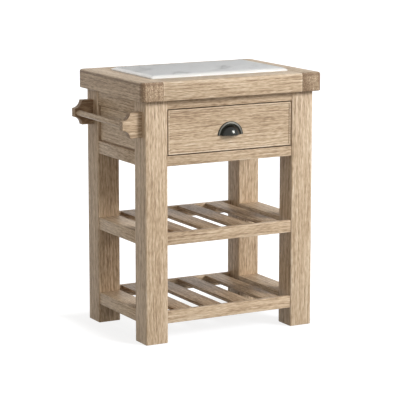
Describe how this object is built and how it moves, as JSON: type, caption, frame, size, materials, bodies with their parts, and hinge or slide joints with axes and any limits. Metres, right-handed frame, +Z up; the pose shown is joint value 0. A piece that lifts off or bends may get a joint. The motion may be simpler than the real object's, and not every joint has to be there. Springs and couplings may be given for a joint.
{
  "type": "kitchen island",
  "caption": "Small freestanding kitchen island: square timber legs, slatted shelves, a drawer with a cup pull, a thick top with a stone inset and a side towel rail.",
  "frame": {"origin": "on the floor, midway between the four legs", "axes": "+Z up, -Y to the front where the drawer opens, -X to the side with the towel rail"},
  "size_m": [0.748, 0.5, 0.911],
  "materials": {
    "limed_oak": "pale limed oak with a matt washed finish",
    "inner_timber": "plain unfinished hardwood",
    "veneered_panel": "oak-veneered panel, matt",
    "marble": "honed pale grey marble with faint veins",
    "pull_metal": "dark pewter-toned casting, satin",
    "screw_steel": "plain steel"
  },
  "bodies": {
    "carcass": {"back_bottom_rail": "limed_oak", "back_panel": "veneered_panel", "back_top_rail": "limed_oak", "drawer_guide_left": "inner_timber", "drawer_guide_right": "inner_timber", "drawer_kicker_left": "inner_timber", "drawer_kicker_right": "inner_timber", "drawer_runner_left": "inner_timber", "drawer_runner_right": "inner_timber", "drawer_stops": "inner_timber", "front_bottom_rail": "limed_oak", "front_top_rail": "limed_oak", "leg_front_left": "limed_oak", "leg_front_right": "limed_oak", "leg_rear_left": "limed_oak", "leg_rear_right": "limed_oak", "lower_shelf_back_rail": "limed_oak", "lower_shelf_front_rail": "limed_oak", "lower_shelf_side_rail_left": "limed_oak", "lower_shelf_side_rail_right": "limed_oak", "lower_shelf_slat_1": "limed_oak", "lower_shelf_slat_2": "limed_oak", "lower_shelf_slat_3": "limed_oak", "lower_shelf_slat_4": "limed_oak", "marble_inset": "marble", "side_bottom_rail_left": "limed_oak", "side_bottom_rail_right": "limed_oak", "side_panel_left": "limed_oak", "side_panel_right": "limed_oak", "side_top_rail_left": "limed_oak", "side_top_rail_right": "limed_oak", "sub_top_panel": "veneered_panel", "top_board_front": "limed_oak", "top_board_left": "limed_oak", "top_board_rear": "limed_oak", "top_board_right": "limed_oak", "top_button_screws": "screw_steel", "top_buttons": "inner_timber", "towel_bar": "limed_oak", "towel_bracket_front": "limed_oak", "towel_bracket_rear": "limed_oak", "towel_bracket_tenons": "inner_timber", "upper_shelf_back_rail": "limed_oak", "upper_shelf_front_rail": "limed_oak", "upper_shelf_side_rail_left": "limed_oak", "upper_shelf_side_rail_right": "limed_oak", "upper_shelf_slat_1": "limed_oak", "upper_shelf_slat_2": "limed_oak", "upper_shelf_slat_3": "limed_oak", "upper_shelf_slat_4": "limed_oak"},
    "drawer": {"drawer_front": "limed_oak", "drawer_side_left": "inner_timber", "drawer_side_right": "inner_timber", "drawer_back": "inner_timber", "drawer_bottom": "veneered_panel", "cup_pull": "pull_metal", "cup_pull_screws": "screw_steel"}
  },
  "joints": [
    {"name": "drawer_slide", "type": "slide", "parent": "carcass", "child": "drawer", "axis": [0, -1, 0], "range_m": [0, 0.3]}
  ]
}
